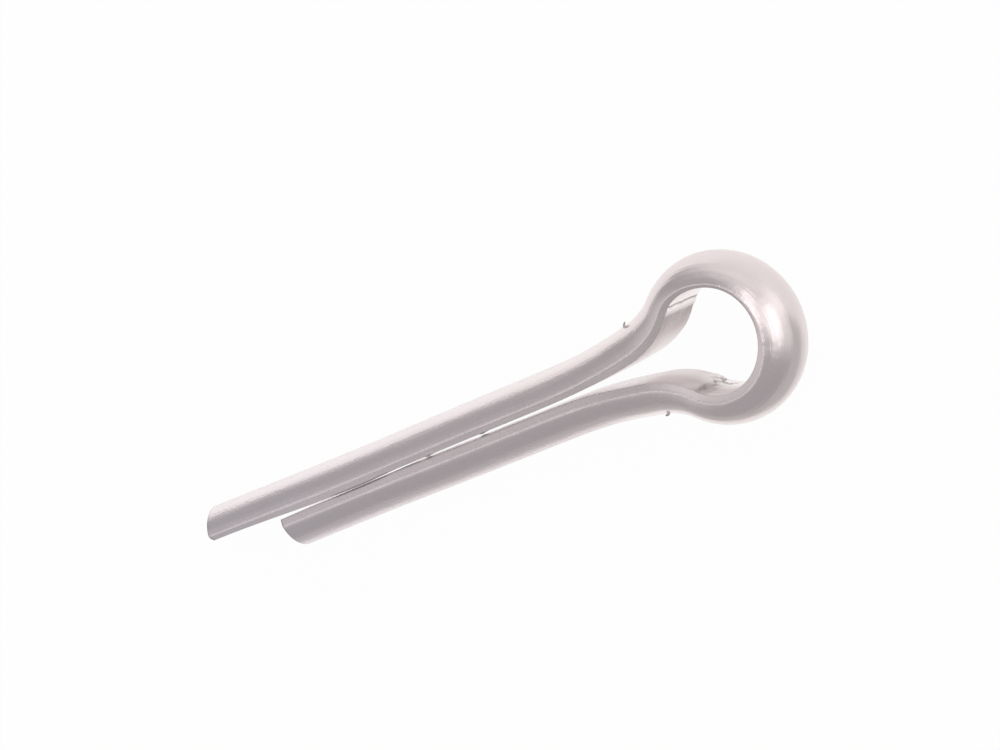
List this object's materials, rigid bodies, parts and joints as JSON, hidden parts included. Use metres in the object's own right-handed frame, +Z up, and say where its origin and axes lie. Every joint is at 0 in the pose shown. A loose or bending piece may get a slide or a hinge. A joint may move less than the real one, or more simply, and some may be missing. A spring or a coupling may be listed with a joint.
{
  "type": "cotter pin",
  "caption": "Cotter pin bent from half-round wire: a round eye, a waisted neck, and a longer and a shorter leg that are spread apart to lock a pin, bolt or castle nut.",
  "frame": {"origin": "on the axis of the shank, at the seat plane where the shoulders below the eye meet the rim of the cross hole and from which the pin's length is measured", "axes": "+X along the pin towards the eye, +Y across the legs towards the longer leg, +Z up, square to the plane that the wire is bent in, with the pin lying flat"},
  "size_m": [0.0433, 0.0104, 0.0042],
  "materials": {
    "zinc_steel": "satin zinc plate on drawn half-round steel wire, with faint drawing lines along the wire"
  },
  "bodies": {
    "root": {"cotter_pin": "zinc_steel"}
  },
  "joints": []
}
